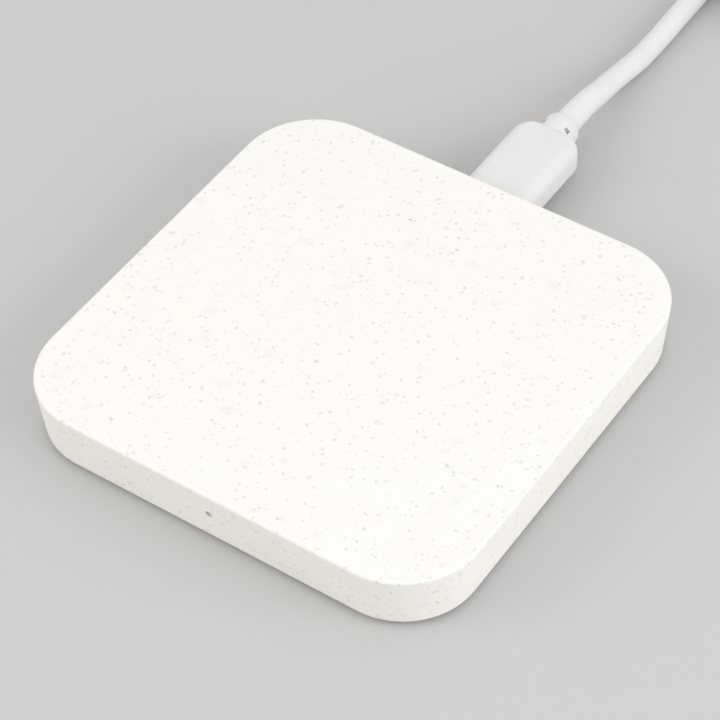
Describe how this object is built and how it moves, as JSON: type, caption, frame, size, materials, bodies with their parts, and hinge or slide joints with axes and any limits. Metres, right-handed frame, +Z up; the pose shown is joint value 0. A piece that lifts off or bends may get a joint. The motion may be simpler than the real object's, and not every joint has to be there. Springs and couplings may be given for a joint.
{
  "type": "wireless charging pad",
  "caption": "Square wireless charging pad with rounded corners, rubber feet, a status light and a rear USB-C socket, with its cable plugged in and coiled.",
  "frame": {"origin": "on the surface that the pad stands on, below the centre of the pad; the cable and its coil don't count", "axes": "+X to the right, +Y to the back where the USB-C socket is, +Z up out of the charging surface"},
  "size_m": [0.088, 0.1988, 0.01],
  "materials": {
    "wheat_plastic": "matte, finely textured, with small grey and brown fibre specks",
    "grip_plastic": "smooth satin moulded plastic",
    "cord_jacket": "smooth satin flexible jacket",
    "tie_strap": "woven hook-and-loop strap",
    "foot_silicone": "matte translucent silicone",
    "screw_steel": "zinc plated",
    "plated_steel": "nickel plated, polished",
    "gold_contacts": "gold plated",
    "copper_wire": "enamelled copper wire",
    "ferrite": "dark grey sintered ferrite",
    "adhesive_tape": "amber film tape",
    "adhesive_film": "thin adhesive film",
    "board_green": "green solder mask",
    "chip_black": "moulded black epoxy",
    "ceramic_tan": "fired ceramic",
    "connector_black": "moulded black plastic",
    "connector_white": "moulded white plastic",
    "led_lens": "clear resin over a small lamp",
    "clear_plastic": "clear moulded plastic"
  },
  "bodies": {
    "pad": {"top_cover": "wheat_plastic", "base_cover": "wheat_plastic", "base_screws": "screw_steel", "foot_front_left": "foot_silicone", "foot_front_right": "foot_silicone", "foot_rear_left": "foot_silicone", "foot_rear_right": "foot_silicone", "coil_tape": "adhesive_tape", "charging_coil": "copper_wire", "coil_bond": "adhesive_film", "ferrite_disc": "ferrite", "circuit_board": "board_green", "control_chip": "chip_black", "bridge_chips": "chip_black", "resonant_capacitors": "ceramic_tan", "chip_capacitors": "ceramic_tan", "chip_resistors": "chip_black", "filter_inductor": "ferrite", "thermistor": "chip_black", "status_led": "led_lens", "light_pipe": "clear_plastic", "usb_c_socket_shell": "plated_steel", "usb_c_socket_tongue": "connector_black", "usb_c_socket_contacts": "gold_contacts"},
    "cable": {"usb_c_plug_shell": "plated_steel", "usb_c_plug_insulator": "connector_black", "usb_c_plug_contacts": "gold_contacts", "usb_c_grip": "grip_plastic", "usb_c_relief": "grip_plastic", "cord_lead": "cord_jacket", "cord_coil": "cord_jacket", "cord_tail": "cord_jacket", "cord_tie": "tie_strap", "usb_a_relief": "grip_plastic", "usb_a_grip": "grip_plastic", "usb_a_shell": "plated_steel", "usb_a_tongue": "connector_white", "usb_a_contacts": "gold_contacts"}
  },
  "joints": [
    {"name": "usb_plug_pull", "type": "slide", "parent": "pad", "child": "cable", "axis": [0, 1, 0], "range_m": [0, 0.02]}
  ]
}
